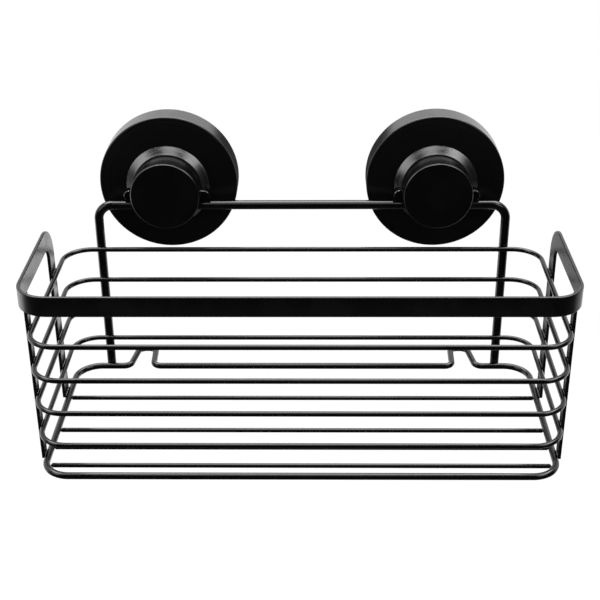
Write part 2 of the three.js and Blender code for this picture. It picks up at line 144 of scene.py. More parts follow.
# Camera, lamps and the card behind the caddy
CAMERA_PLACE = (9.65 * MM, -711.65 * MM, 278.2 * MM)
CAMERA_DOWN, CAMERA_PAN, CAMERA_ROLL = math.radians(27.38), math.radians(-0.93), math.radians(-0.43)
FLOOR_GLOW = 0.62
CARD_MIDDLE = (0, 0.1, -0.02)
CARD_SIZE = (0.09, 1, 0.13)
SOFTBOXES = {  # place, size and share of the softbox brightness
    "softbox_left": ((-1.05, -0.6, 0.46), (0.6, 0.75), 1.25),
    "softbox_top": ((-0.05, -0.68, 0.92), (0.52, 0.6), 1.1),
    "softbox_right": ((0.73, -0.62, 0.63), (0.5, 0.55), 1.7),
}


# ---------------------------------------------------------------- modelling by hand

def begin(kind, name, **place):
    """Adds a primitive, sets its place into its mesh and opens it in edit mode, all selected."""
    bpy.ops.object.select_all(action="DESELECT")
    getattr(bpy.ops.mesh, f"primitive_{kind}_add")(**place)
    piece = bpy.context.active_object
    piece.name = piece.data.name = name
    bpy.ops.object.transform_apply(location=True, rotation=True, scale=True)
    bpy.ops.object.mode_set(mode="EDIT")
    bpy.ops.mesh.select_mode(type="VERT")
    bpy.ops.mesh.select_all(action="SELECT")
    return piece


def edit_mesh():
    return bmesh.from_edit_mesh(bpy.context.edit_object.data)


def pick(kind, wanted):
    """In edit mode, selects only the vertices, edges or faces that pass the test."""
    bpy.ops.mesh.select_mode(type=kind)
    bpy.ops.mesh.select_all(action="DESELECT")
    mesh = edit_mesh()
    mesh.normal_update()
    found = False
    for part in {"VERT": mesh.verts, "EDGE": mesh.edges, "FACE": mesh.faces}[kind]:
        if wanted(part):
            part.select_set(True)
            found = True
    bmesh.update_edit_mesh(bpy.context.edit_object.data)
    if not found:
        raise RuntimeError(f"{bpy.context.edit_object.name}: nothing to select")


def middle(edge):
    return (edge.verts[0].co + edge.verts[1].co) / 2


def extrude(shift):
    bpy.ops.mesh.extrude_region_move(TRANSFORM_OT_translate={"value": tuple(shift)})


def spin(centre, axis, angle, steps):
    """Sweeps the selection round the axis by the right-hand rule."""
    bpy.ops.mesh.spin(steps=steps, angle=angle, center=tuple(centre), axis=tuple(-Vector(axis)))


def close_up():
    """Merges doubles, points all faces outwards and goes back to object mode."""
    bpy.ops.mesh.select_mode(type="VERT")
    bpy.ops.mesh.select_all(action="SELECT")
    bpy.ops.mesh.remove_doubles(threshold=MERGE)
    bpy.ops.mesh.normals_make_consistent(inside=False)
    bpy.ops.object.mode_set(mode="OBJECT")


def only(piece):
    bpy.ops.object.select_all(action="DESELECT")
    piece.select_set(True)
    bpy.context.view_layer.objects.active = piece


def edit(piece):
    """Opens a piece in edit mode, with what was last selected in it."""
    only(piece)
    bpy.ops.object.mode_set(mode="EDIT")


def modify(piece, kind, **settings):
    """Adds a modifier, sets it and applies it."""
    only(piece)
    modifier = piece.modifiers.new(kind.lower(), kind)
    for key, value in settings.items():
        setattr(modifier, key, value)
    bpy.ops.object.modifier_apply(modifier=modifier.name)


def round_edges(piece, width, segments, angle):
    """Rounds the edges that are sharper than the angle, in degrees."""
    modify(piece, "BEVEL", width=width, segments=segments, limit_method="ANGLE",
           angle_limit=math.radians(angle), use_clamp_overlap=True, miter_outer="MITER_ARC")


def smooth(piece, angle=SMOOTH_ANGLE, weighted=True):
    only(piece)
    bpy.ops.object.shade_smooth_by_angle(angle=angle)
    if weighted:
        modify(piece, "WEIGHTED_NORMAL", mode="FACE_AREA", weight=50, keep_sharp=True)


def mirror_across(piece):
    """Mirrors a half that ends in the middle plane."""
    modify(piece, "MIRROR", use_axis=(True, False, False), use_clip=True,
           use_mirror_merge=True, merge_threshold=MERGE * 4)
    bpy.ops.object.mode_set(mode="EDIT")
    close_up()


def copy_piece(piece, name, shift):
    """A copy with its own mesh, moved, with its place in its mesh."""
    only(piece)
    bpy.ops.object.duplicate(linked=False)
    twin = bpy.context.active_object
    twin.name = twin.data.name = name
    bpy.ops.transform.translate(value=tuple(shift))
    bpy.ops.object.transform_apply(location=True, rotation=False, scale=False)
    return twin


def both_cups(piece, name):
    """A left cup's piece and its copy on the right cup, each with its side."""
    return ("left", piece), ("right", copy_piece(piece, f"{name}_right", (CUP_SPACING, 0, 0)))


def settle(piece, body, slot, finish, *nodes):
    """Gives a finished piece its materials and its body, and hides the CAD nodes that it stands for."""
    piece.data.materials.clear()
    for name in [finish] if isinstance(finish, str) else finish:
        piece.data.materials.append(bpy.data.materials[name])
    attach(piece, body)
    if nodes:
        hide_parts(*nodes)


def draw_wire(corners, bend_steps):
    """Draws the selected section along straight runs between corners, rounded by their bends."""
    points = [Vector(point) for point, _ in corners]
    at = points[0]
    for before, corner, after, (_, bend) in zip(points, points[1:], points[2:], corners[1:]):
        inward = (corner - before).normalized()
        outward = (after - corner).normalized()
        turn = inward.angle(outward)
        reach = bend * math.tan(turn / 2)
        start = corner - inward * reach
        axis = inward.cross(outward).normalized()
        if (start - at).length > MERGE:
            extrude(start - at)
        steps = max(3, round(bend_steps * turn / QUARTER_TURN))
        spin(start + axis.cross(inward) * bend, axis, turn, steps)
        at = corner + outward * reach
    extrude(points[-1] - at)


def section(name, radius, sides, centre, facing, filled=False):
    """A round section, of a wire or a turned piece, ready to be drawn along its line."""
    rotation = {"X": (0, QUARTER_TURN, 0), "Y": (QUARTER_TURN, 0, 0), "Z": (0, 0, 0)}[facing]
    return begin("circle", name, vertices=sides, radius=radius, location=tuple(centre),
                 rotation=rotation, fill_type="NGON" if filled else "NOTHING")


def closed_wire(name, radius, sides, corners, bend_steps):
    """Half of a closed wire, from the front's middle to the back's, and its mirror image."""
    piece = section(name, radius, sides, corners[0][0], "X")
    draw_wire(corners, bend_steps)
    close_up()
    mirror_across(piece)
    smooth(piece, weighted=False)
    return piece


def turned(name, profile, sides, cap_start=False, cap_end=False):
    """A shape turned about the left cup's axis. The profile is a list of (radius, distance from the wall)."""
    radius, reach = profile[0]
    piece = section(name, radius, sides, (LEFT_AXIS, -reach, 0), "Y")
    for next_radius, next_reach in profile[1:]:
        extrude((0, reach - next_reach, 0))
        if abs(next_radius - radius) > 1e-9:
            grow = next_radius / radius
            bpy.ops.transform.resize(value=(grow, 1, grow), center_override=(LEFT_AXIS, -next_reach, 0))
        radius, reach = next_radius, next_reach
    if cap_end:
        bpy.ops.mesh.edge_face_add()
    if cap_start:
        first_reach = profile[0][1]
        pick("EDGE", lambda e: e.is_boundary and abs(-middle(e).y - first_reach) < MERGE)
        bpy.ops.mesh.edge_face_add()
    if not cap_start and not cap_end:
        pick("EDGE", lambda e: e.is_boundary)
        bpy.ops.mesh.bridge_edge_loops()
    close_up()
    return piece


def around(part, x):
    """Distance of an edge's or a face's middle from a cup's axis."""
    at = part.center if hasattr(part, "center") else middle(part)
    return math.hypot(at.x - x, at.z)


# ---------------------------------------------------------------- shader sums

class Signal:
    """A socket of a node tree. Sums written on it add Math nodes."""

    def __init__(self, tree, socket=None):
        self.tree = tree
        self.socket = socket

    def node(self, kind, settings=None, inputs=None, output=0):
        """Adds a node: its settings first, a ramp's stops among them, then its sockets."""
        node = self.tree.nodes.new(kind)
        for key, value in (settings or {}).items():
            if key == "stops":
                while len(node.color_ramp.elements) < len(value):
                    node.color_ramp.elements.new(1)
                for element, (place, colour) in zip(node.color_ramp.elements, value):
                    element.position = place
                    element.color = colour
            else:
                setattr(node, key, value)
        for key, value in (inputs or {}).items():
            socket = node.inputs[key]
            if isinstance(value, Signal):
                self.tree.links.new(value.socket, socket)
            else:
                socket.default_value = value
        return Signal(self.tree, node.outputs[output] if len(node.outputs) else None)

    def math(self, operation, *values):
        inputs = dict(enumerate((self, *values)))
        return self.node("ShaderNodeMath", {"operation": operation}, inputs)

    def __add__(self, other):
        return self.math("ADD", other)

    def __sub__(self, other):
        return self.math("SUBTRACT", other)

    def __rsub__(self, other):
        return (self * -1) + other

    def __mul__(self, other):
        return self.math("MULTIPLY", other)

    def __truediv__(self, other):
        return self.math("DIVIDE", other)

    def between(self, low, high, to_low=0.0, to_high=1.0, smooth_step=True):
        """Maps low..high to to_low..to_high, held at the ends."""
        kind = "SMOOTHSTEP" if smooth_step else "LINEAR"
        return self.node("ShaderNodeMapRange", {"interpolation_type": kind, "clamp": True}, {
            "Value": self, "From Min": low, "From Max": high, "To Min": to_low, "To Max": to_high})

    def tint(self, low, high):
        """Mixes two colours by this mask."""
        return self.node("ShaderNodeMix", {"data_type": "RGBA"}, {0: self, 6: (*low, 1), 7: (*high, 1)}, 2)


def new_material(name):
    """An empty material, and a Signal to start its tree from."""
    material = bpy.data.materials.new(name)
    if material.name != name:
        raise RuntimeError(f"the name {name} is taken by a material of the frame")
    material.use_nodes = True
    material.node_tree.nodes.clear()
    return material, Signal(material.node_tree)


def finish_material(start, constants, colour, roughness, height, depth, strength):
    """Joins colour, roughness and bump to a Principled shader whose other sockets are plain numbers."""
    bump = start.node("ShaderNodeBump", None, {"Strength": strength, "Distance": depth, "Height": height})
    inputs = dict(constants)
    inputs.update({"Base Color": colour, "Roughness": roughness, "Normal": bump})
    shader = start.node("ShaderNodeBsdfPrincipled", None, inputs)
    start.node("ShaderNodeOutputMaterial", None, {"Surface": shader})


def object_place(start):
    return start.node("ShaderNodeTexCoord", output=3)


def noise(start, place, scale, detail=2.0, rough=0.5):
    return start.node("ShaderNodeTexNoise", None, {
        "Vector": place, "Scale": scale, "Detail": detail, "Roughness": rough})


def edge_mask(start, low=0.52, high=0.62):
    """Bright on sharp outer edges, where a coat is thinnest."""
    return start.node("ShaderNodeNewGeometry", output=7).between(low, high)


def coated(name, dark, worn, roughness, grain, level):
    """Powder coat: fine orange peel, a faint cloudiness, and edges where the coat is thin."""
    start = new_material(name)[1]
    place = object_place(start)
    cloud = noise(start, place, 90, 3)
    peel = noise(start, place, grain, 2)
    speck = noise(start, place, grain * 3.1, 1)
    edge = edge_mask(start)
    colour = (cloud.between(0.35, 0.65) * 0.35 + edge * 0.65).tint(dark, worn)
    rough = cloud.between(0.3, 0.7, roughness - 0.02, roughness + 0.02) - edge * 0.06
    height = peel * 0.7 + speck * 0.3
    finish_material(start, {"Specular IOR Level": level, "IOR": 1.5}, colour, rough, height, 0.015 * MM, 0.15)


def cup_radius(start):
    """Place about the nearer cup's axis.

    Gives the distance from the axis and from the wall, and the cosine and sine of the direction.
    """
    place = object_place(start)
    x, y, z = (start.node("ShaderNodeSeparateXYZ", None, {0: place}, k) for k in range(3))
    side = x.math("ABSOLUTE") + LEFT_AXIS
    radius = (side * side + z * z).math("SQRT")
    return radius, y * -1, side / (radius + 1e-6), z / (radius + 1e-6)


def brushed(name, dark, light, roughness, lines, depth, strength, metallic=1.0):
    """Metal brushed on a lathe: fine rings about the cup's axis, each a little different."""
    start = new_material(name)[1]
    radius, reach, cosine, sine = cup_radius(start)
    step = radius * lines + reach * lines
    fine = start.node("ShaderNodeCombineXYZ", None, {0: step, 1: cosine * 0.7, 2: sine * 0.7})
    broad = start.node("ShaderNodeCombineXYZ", None, {0: step * 0.23, 1: cosine * 0.3, 2: sine * 0.3})
    ring = noise(start, fine, 1.0, 3, 0.65)
    band = noise(start, broad, 1.0, 1)
    edge = edge_mask(start, 0.53, 0.66)
    shade = ring.between(0.3, 0.7, smooth_step=False) * 0.6 + band.between(0.3, 0.7) * 0.4
    colour = (shade * (1 - edge * 0.5) + edge * 0.5).tint(dark, light)
    rough = ring.between(0.3, 0.7, roughness - 0.05, roughness + 0.06)
    height = ring * 0.8 + band * 0.2
    constants = {"Metallic": metallic, "Specular IOR Level": 0.5}
    finish_material(start, constants, colour, rough, height, depth, strength)


def moulded(name, dark, light, roughness, grain, level=0.4):
    """Moulded plastic or rubber: a fine spark-eroded grain and faint flow marks."""
    start = new_material(name)[1]
    place = object_place(start)
    flow = noise(start, place, 60, 2)
    texture = noise(start, place, grain, 3)
    edge = edge_mask(start)
    colour = (flow.between(0.35, 0.65) * 0.5 + edge * 0.5).tint(dark, light)
    rough = texture.between(0.3, 0.7, roughness - 0.05, roughness + 0.05)
    finish_material(start, {"Specular IOR Level": level, "IOR": 1.5}, colour, rough, texture, 0.05 * MM, 0.25)


# ---------------------------------------------------------------- settings

class CaddyBasketSettings(bpy.types.PropertyGroup):
    """Sizes of the basket's looks that a user may change"""

    edge_rounding: bpy.props.FloatProperty(
        name="Strip edge rounding", description="Radius of the flat strip's long edges",
        default=0.65 * MM, min=0.1 * MM, max=0.9 * MM, unit="LENGTH", precision=5)
    bend_steps: bpy.props.IntProperty(
        name="Steps in a bend", description="Facets that a quarter turn of wire is made of",
        default=14, min=6, max=32)
    wire_sides: bpy.props.IntProperty(
        name="Sides of a wire", description="Facets round a thin wire", default=20, min=8, max=48)
    hanger_sides: bpy.props.IntProperty(
        name="Sides of the hanger", description="Facets round the thick hanger wire",
        default=28, min=8, max=64)
    bead_size: bpy.props.FloatProperty(
        name="Weld bead size", description="How far a weld bead stands out beside a wire",
        default=1.05 * MM, min=0.8 * MM, max=2.5 * MM, unit="LENGTH", precision=5)


class CaddyCupSettings(bpy.types.PropertyGroup):
    """Sizes of the suction cups' looks that a user may change"""

    round_sides: bpy.props.IntProperty(
        name="Sides of a round", description="Facets round a turned piece", default=112, min=48, max=192)
    cover_rounding: bpy.props.FloatProperty(
        name="Cover edge rounding", description="Radius between the cover's side and its face",
        default=0.9 * MM, min=0.2 * MM, max=2 * MM, unit="LENGTH", precision=5)
    knob_chamfer: bpy.props.FloatProperty(
        name="Knob chamfer", description="Width of the chamfer round the knob's face",
        default=0.5 * MM, min=0.2 * MM, max=1.2 * MM, unit="LENGTH", precision=5)
    lug_chamfer: bpy.props.FloatProperty(
        name="Lug chamfer", description="Width of the chamfer round the lugs' faces",
        default=0.55 * MM, min=0.2 * MM, max=1.2 * MM, unit="LENGTH", precision=5)
    knob_grooves: bpy.props.IntProperty(
        name="Knob grooves", description="Fine grip grooves round the knob's side", default=6, min=0, max=7)
    pad_ridges: bpy.props.IntProperty(
        name="Pad ridges", description="Sealing ridges on the pad's wall face", default=3, min=1, max=4)


class CaddyFinishSettings(bpy.types.PropertyGroup):
    """Colours and gloss of the finishes"""

    coat: bpy.props.FloatVectorProperty(
        name="Powder coat", description="Colour of the coated wires and strips",
        default=(0.0014, 0.0014, 0.0015), min=0, max=1, size=3, subtype="COLOR")
    coat_thin: bpy.props.FloatVectorProperty(
        name="Thin coat", description="Colour of the coat along edges, where it is thinnest",
        default=(0.006, 0.006, 0.0064), min=0, max=1, size=3, subtype="COLOR")
    coat_roughness: bpy.props.FloatProperty(
        name="Coat roughness", description="Roughness of the powder coat", default=0.17, min=0, max=1)
    metal_dark: bpy.props.FloatVectorProperty(
        name="Brushed metal, dark rings", description="Darker rings of the cover's side and the collar",
        default=(0.17, 0.17, 0.172), min=0, max=1, size=3, subtype="COLOR")
    metal_light: bpy.props.FloatVectorProperty(
        name="Brushed metal, light rings", description="Lighter rings of the cover's side and the collar",
        default=(0.29, 0.29, 0.292), min=0, max=1, size=3, subtype="COLOR")
    face: bpy.props.FloatVectorProperty(
        name="Black face", description="Colour of the cover's flat black face",
        default=(0.001, 0.001, 0.001), min=0, max=1, size=3, subtype="COLOR")


class CaddyStageSettings(bpy.types.PropertyGroup):
    """Camera and light"""

    lens: bpy.props.FloatProperty(
        name="Lens", description="Focal length on a 36 mm wide sensor, in millimetres",
        default=72, min=20, max=200)
    softbox: bpy.props.FloatProperty(
        name="Softbox brightness", description="Brightness of the three softboxes, where 1 is white",
        default=1.2, min=0, max=4)
    fill: bpy.props.FloatProperty(
        name="Room light", description="Brightness of the even light from all round, where 1 is white",
        default=0.45, min=0, max=2)
    floor_drop: bpy.props.FloatProperty(
        name="Floor below the caddy", description="Height at which the caddy hangs above the floor",
        default=1.15, min=0.2, max=3, unit="LENGTH")


# ---------------------------------------------------------------- operators

class CADDY_OT_finishes(bpy.types.Operator):
    """Make the materials of the caddy"""

    bl_idname = "caddy.finishes"
    bl_label = "Finishes"

    def execute(self, context):
        s = context.scene.caddy_finish
        coated("strip_coat", s.coat, s.coat_thin, s.coat_roughness + 0.13, 1700, 0.6)
        coated("wire_coat", s.coat, s.coat_thin, s.coat_roughness, 1700, 0.6)
        coated("weld_coat", s.coat, s.coat, s.coat_roughness + 0.2, 1300, 0.4)
        side_dark, side_light = ([0.53 * c for c in colour] for colour in (s.metal_dark, s.metal_light))
        brushed("brushed_side", side_dark, side_light, 0.24, 2600, 0.004 * MM, 0.25)
        brushed("brushed_cone", s.metal_dark, s.metal_light, 0.29, 2600, 0.001 * MM, 0.06)
        brushed("polished_edge", side_dark, side_light, 0.27, 900, 0.001 * MM, 0.1)
        brushed("black_face", s.face, [2 * c for c in s.face], 0.34, 2200, 0.006 * MM, 0.25, metallic=0.0)
        moulded("moulded_black", (0.0022, 0.0022, 0.0023), (0.0045, 0.0045, 0.0048), 0.3, 2100, 0.05)
        moulded("knob_satin", (0.0034, 0.0034, 0.0035), (0.0055, 0.0055, 0.0057), 0.25, 2600, 0.04)
        moulded("soft_rubber", (0.02, 0.021, 0.022), (0.045, 0.046, 0.048), 0.5, 1500)
        moulded("glass_filled_nylon", (0.36, 0.37, 0.38), (0.5, 0.51, 0.52), 0.55, 1200)
        brushed("turned_brass", (0.52, 0.36, 0.15), (0.78, 0.6, 0.32), 0.3, 3200, 0.008 * MM, 0.4)
        return {"FINISHED"}


class CADDY_OT_rim_strip(bpy.types.Operator):
    """Model the rim strip with its two back legs"""

    bl_idname = "caddy.rim_strip"
    bl_label = "Rim strip"

    def execute(self, context):
        s = context.scene.caddy_basket
        top = STRIP_HIGH.z
        straight = HALF_WIDTH - STRIP_CORNER
        piece = begin("cube", "rim_strip", size=1,
                      location=(straight / 2, FRONT + STRIP_THICKNESS / 2, top - STRIP_HEIGHT / 2),
                      scale=(straight, STRIP_THICKNESS, STRIP_HEIGHT))
        pick("FACE", lambda f: f.normal.x > 0.9)
        corner = Vector((straight, FRONT + STRIP_CORNER, 0))
        spin(corner, UP, QUARTER_TURN, s.bend_steps)
        turn_start = STRIP_HIGH.y - STRIP_TURN
        extrude((0, turn_start - corner.y, 0))
        pivot = Vector((0, turn_start, top - STRIP_TURN))
        spin(pivot, ACROSS, -QUARTER_TURN, s.bend_steps)
        extrude((0, 0, STRIP_LOW.z - pivot.z))
        pick("FACE", lambda f: f.normal.x < -0.9 and f.calc_center_median().x < MERGE)
        bpy.ops.mesh.delete(type="FACE")
        close_up()
        mirror_across(piece)
        round_edges(piece, s.edge_rounding, 3, 40)
        smooth(piece)
        settle(piece, "basket", "black_coat", "strip_coat", "rim_band")
        return {"FINISHED"}


class CADDY_OT_front_legs(bpy.types.Operator):
    """Model the two short strips under the front corners"""

    bl_idname = "caddy.front_legs"
    bl_label = "Front legs"

    def execute(self, context):
        s = context.scene.caddy_basket
        size = LEG_HIGH - LEG_LOW
        right = begin("cube", "leg_strip_right", size=1, location=(LEG_LOW + LEG_HIGH) / 2, scale=size)
        pick("FACE", lambda f: f.normal.z < -0.9)
        bpy.ops.mesh.inset(thickness=0.25 * MM, depth=0)
        bpy.ops.transform.translate(value=(0, 0, -0.05 * MM))
        close_up()
        round_edges(right, s.edge_rounding * 0.8, 3, 40)
        smooth(right)
        left = copy_piece(right, "leg_strip_left", (-(LEG_LOW.x + LEG_HIGH.x), 0, 0))
        settle(right, "basket", "black_coat", "strip_coat", "front_leg_right")
        settle(left, "basket", "black_coat", "strip_coat", "front_leg_left")
        return {"FINISHED"}


class CADDY_OT_ring_wires(bpy.types.Operator):
    """Model the four closed ring wires"""

    bl_idname = "caddy.ring_wires"
    bl_label = "Ring wires"

    def execute(self, context):
        s = context.scene.caddy_basket
        x, front, back = WIRES_HALF - RING_RADIUS, WIRES_FRONT + RING_RADIUS, WIRES_BACK - RING_RADIUS
        z = RING_HEIGHTS[0]
        corners = [((0, front, z), 0), ((x, front, z), RING_FRONT_BEND),
                   ((x, back, z), RING_BACK_BEND), ((0, back, z), 0)]
        first = closed_wire("ring_1", RING_RADIUS, s.wire_sides, corners, s.bend_steps)
        rings = [first] + [copy_piece(first, f"ring_{k}", (0, 0, RING_HEIGHTS[k - 1] - z)) for k in (2, 3, 4)]
        for k, ring in enumerate(rings, 1):
            settle(ring, "basket", "black_coat", "wire_coat", f"ring_wire_{k}")
        return {"FINISHED"}


class CADDY_OT_base_wire(bpy.types.Operator):
    """Model the base wire with its two stand-off bends"""

    bl_idname = "caddy.base_wire"
    bl_label = "Base wire"

    def execute(self, context):
        s = context.scene.caddy_basket
        x, front, back = WIRES_HALF - BASE_RADIUS, WIRES_FRONT + BASE_RADIUS, WIRES_BACK - BASE_RADIUS
        z, out = BASE_HEIGHT, BASE_HIGH.y - BASE_RADIUS
        corners = [((0, front, z), 0), ((x, front, z), BASE_FRONT_BEND), ((x, back, z), BASE_BACK_BEND),
                   ((STANDOFF_OUTER, back, z), STANDOFF_BEND), ((STANDOFF_TOP_OUTER, out, z), STANDOFF_BEND),
                   ((STANDOFF_TOP_INNER, out, z), STANDOFF_BEND), ((STANDOFF_INNER, back, z), STANDOFF_BEND),
                   ((0, back, z), 0)]
        piece = closed_wire("base_loop", BASE_RADIUS, s.wire_sides, corners, s.bend_steps)
        settle(piece, "basket", "black_coat", "wire_coat", "base_wire")
        return {"FINISHED"}


class CADDY_OT_floor_wires(bpy.types.Operator):
    """Model the five straight floor wires"""

    bl_idname = "caddy.floor_wires"
    bl_label = "Floor wires"

    def execute(self, context):
        s = context.scene.caddy_basket
        for k, (low, high) in enumerate(FLOOR_BOXES, 1):
            piece = section(f"floor_rod_{k}", FLOOR_RADIUS, s.wire_sides,
                            (low.x, FLOOR_DEPTHS[k - 1], FLOOR_HEIGHT), "X", filled=True)
            extrude((high.x - low.x, 0, 0))
            close_up()
            round_edges(piece, 0.25 * MM, 2, 60)
            smooth(piece)
            settle(piece, "basket", "black_coat", "wire_coat", f"floor_wire_{k}")
        return {"FINISHED"}


class CADDY_OT_hanger(bpy.types.Operator):
    """Model the thick hanger wire behind the basket"""

    bl_idname = "caddy.hanger"
    bl_label = "Hanger"

    def execute(self, context):
        s = context.scene.caddy_basket
        x = HANGER_HIGH.x - HANGER_RADIUS
        top = HANGER_HIGH.z - HANGER_RADIUS
        piece = section("hanger_wire", HANGER_RADIUS, s.hanger_sides, (x, HANGER_DEPTH, HANGER_LOW.z), "Z",
                        filled=True)
        draw_wire([((x, HANGER_DEPTH, HANGER_LOW.z), 0), ((x, HANGER_DEPTH, top), HANGER_BEND),
                   ((0, HANGER_DEPTH, top), 0)], s.bend_steps + 4)
        bpy.ops.mesh.delete(type="ONLY_FACE")
        close_up()
        mirror_across(piece)
        round_edges(piece, 0.5 * MM, 3, 60)
        smooth(piece)
        settle(piece, "basket", "black_coat", "wire_coat", "hanger_frame")
        return {"FINISHED"}


class CADDY_OT_weld_beads(bpy.types.Operator):
    """Model one weld bead and copy it to every joint of the basket"""

    bl_idname = "caddy.weld_beads"
    bl_label = "Weld beads"

    def bead(self, size):
        piece = begin("uv_sphere", "weld_bead", segments=14, ring_count=8, radius=size, location=(0, 0, 0))
        pick("VERT", lambda v: v.co.z > 0.3 * size)
        bpy.ops.transform.resize(value=(0.86, 1.12, 0.8), center_override=(0, 0, 0))
        pick("VERT", lambda v: v.co.z < -0.3 * size)
        bpy.ops.transform.resize(value=(1.06, 0.94, 0.85), center_override=(0, 0, 0))
        bpy.ops.mesh.select_all(action="SELECT")
        bpy.ops.transform.vertex_random(offset=size * 0.05, uniform=1, seed=4)
        close_up()
        return piece

    def place(self, bead, name, spots):
        """Copies the bead to each spot, (centre, scale), and joins the copies into one piece."""
        copies = []
        for centre, scale in spots:
            only(bead)
            bpy.ops.object.duplicate(linked=False)
            bpy.ops.transform.resize(value=scale, center_override=(0, 0, 0))
            bpy.ops.transform.translate(value=tuple(centre))
            bpy.ops.object.transform_apply(location=True, rotation=True, scale=True)
            copies.append(bpy.context.active_object)
        only(copies[0])
        for other in copies[1:]:
            other.select_set(True)
        bpy.ops.object.join()
        joined = bpy.context.active_object
        joined.name = joined.data.name = name
        smooth(joined, math.radians(60), weighted=False)
        settle(joined, "basket", "black_coat", "weld_coat")

    def execute(self, context):
        size = context.scene.caddy_basket.bead_size
        bead = self.bead(size)
        side = WIRES_HALF + 0.1 * MM
        heights = [*RING_HEIGHTS, BASE_HEIGHT]
        front_leg = (LEG_LOW.y + LEG_HIGH.y) / 2
        back_leg = STRIP_HIGH.y - STRIP_HEIGHT / 2
        hanger_x = HANGER_HIGH.x - HANGER_RADIUS
        strip_under = LEG_HIGH.z
        sides = (-1, 1)
        legs = [((k * (side - 0.5 * MM), y, z), (0.5, 0.8, 0.85))
                for k in sides for z in heights
                for y in (front_leg - BEAD_AT_FRONT_LEG, front_leg + BEAD_AT_FRONT_LEG)]
        backs = [((k * (side - 0.5 * MM), y, z), (0.5, 0.9, 0.85))
                 for k in sides for z in heights
                 for y in (back_leg - BEAD_AT_BACK_LEG, back_leg + BEAD_AT_BACK_LEG)]
        hangers = [((k * (hanger_x + d * BEAD_AT_HANGER), WIRES_BACK - 0.1 * MM, z), (0.8, 0.75, 0.9))
                   for k in sides for z in heights for d in sides]
        floors = [((k * (high.x + 0.1 * MM), y, FLOOR_HEIGHT), (0.7, 1.05, 0.85))
                  for k in sides for (_, high), y in zip(FLOOR_BOXES, FLOOR_DEPTHS)]
        tops = [((k * (HALF_WIDTH - STRIP_THICKNESS / 2), front_leg, strip_under + 0.1 * MM), (0.6, 2.1, 0.4))
                for k in sides]
        self.place(bead, "beads_front_legs", legs)
        self.place(bead, "beads_back_legs", backs)
        self.place(bead, "beads_hanger", hangers)
        self.place(bead, "beads_floor", floors)
        self.place(bead, "beads_strip", tops)
        only(bead)
        bpy.ops.object.delete()
        return {"FINISHED"}


class CADDY_OT_covers(bpy.types.Operator):
    """Model the two round covers"""

    bl_idname = "caddy.covers"
    bl_label = "Covers"

    def execute(self, context):
        s = context.scene.caddy_cup
        outer = COVER_HIGH.x - LEFT_AXIS
        inner = outer - COVER_WALL
        rim, flat = -COVER_HIGH.y, -COVER_LOW.y
        bore, shoulder = COLLAR_BORE, COVER_SHOULDER
        edge = flat - COVER_EDGE_FALL
        profile = [(inner, rim), (outer - 0.15 * MM, rim), (outer, rim + 0.15 * MM), (outer, edge),
                   (shoulder, flat), (bore, flat), (bore, flat - COVER_WALL),
                   (shoulder, flat - COVER_WALL), (inner, edge - COVER_WALL)]
        left = turned("cover_left", profile, s.round_sides)
        edit(left)
        pick("EDGE", lambda e: abs(around(e, LEFT_AXIS) - outer) < 0.1 * MM
             and abs(-e.verts[0].co.y - edge) < MERGE and abs(-e.verts[1].co.y - edge) < MERGE)
        bpy.ops.mesh.bevel(offset=s.cover_rounding, segments=5, profile=0.5, affect="EDGES")
        close_up()
        left.data.materials.append(bpy.data.materials["brushed_side"])
        left.data.materials.append(bpy.data.materials["black_face"])
        edit(left)
        pick("FACE", lambda f: f.normal.y < -0.25)
        left.active_material_index = 1
        bpy.ops.object.material_slot_assign()
        bpy.ops.object.mode_set(mode="OBJECT")
        smooth(left, math.radians(28))
        marks = [polygon.material_index for polygon in left.data.polygons]
        for name, piece in both_cups(left, "cover"):
            settle(piece, f"{name}_cup", "black_metal", ["brushed_side", "black_face"], f"{name}_cover_disc")
            piece.data.polygons.foreach_set("material_index", marks)
        return {"FINISHED"}


class CADDY_OT_collars(bpy.types.Operator):
    """Model the two shiny cones between cover and hook plate"""

    bl_idname = "caddy.collars"
    bl_label = "Collars"

    def execute(self, context):
        s = context.scene.caddy_cup
        bore, base, top = COLLAR_BORE, COLLAR_HIGH.x - LEFT_AXIS, COLLAR_TOP_RADIUS
        back, front = -COLLAR_HIGH.y, -COLLAR_LOW.y
        left = turned("cone_left", [(bore, back), (base, back), (top, front), (bore, front)], s.round_sides)
        round_edges(left, 0.22 * MM, 3, 20)
        smooth(left, math.radians(28))
        for name, piece in both_cups(left, "cone"):
            settle(piece, f"{name}_cup", "black_metal", "brushed_cone", f"{name}_cone_collar")
        return {"FINISHED"}


